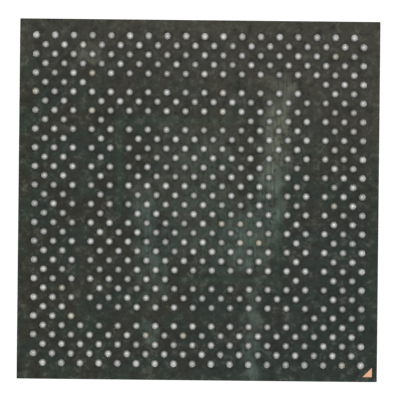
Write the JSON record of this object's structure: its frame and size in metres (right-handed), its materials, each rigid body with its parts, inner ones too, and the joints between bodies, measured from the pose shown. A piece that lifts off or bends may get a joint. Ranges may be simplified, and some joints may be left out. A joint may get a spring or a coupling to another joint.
{
  "type": "ball grid array chip package",
  "caption": "Square flip-chip ball grid array package with a staggered solder ball array, empty moats in it, a corner mark, and a bare die with capacitors on the other side.",
  "frame": {"origin": "centre of the back face of the silicon die, which is the face that the package lies on", "axes": "+Z out of the ball side, normal to the substrate; X and Y along the substrate's sides, with the A1 corner mark in the +X -Y corner"},
  "size_m": [0.027, 0.027, 0.0024],
  "materials": {
    "silicon": "polished",
    "solder": "satin",
    "ball_solder": "satin",
    "underfill_resin": "gloss",
    "capacitor_ceramic": "matte",
    "terminal_tin": "satin",
    "solder_mask": "satin",
    "copper": "satin",
    "bare_copper_mark": "satin",
    "build_up_resin": "matte",
    "core_laminate": "matte"
  },
  "bodies": {
    "root": {"silicon_die": "silicon", "solder_bumps": "solder", "underfill": "underfill_resin", "capacitor_bodies": "capacitor_ceramic", "capacitor_terminals": "terminal_tin", "capacitor_joints": "solder", "die_side_mask": "solder_mask", "bump_pads": "copper", "capacitor_pads": "copper", "die_side_a1_mark": "copper", "die_side_build_up": "build_up_resin", "die_side_plane": "copper", "core": "core_laminate", "via_barrels": "copper", "via_plugs": "build_up_resin", "ball_side_plane": "copper", "ball_side_build_up": "build_up_resin", "outer_planes": "copper", "ball_pads": "copper", "ball_side_a1_mark": "bare_copper_mark", "ball_side_mask": "solder_mask", "balls_outer_band": "ball_solder", "balls_middle_ring": "ball_solder", "balls_core_block": "ball_solder"}
  },
  "joints": []
}
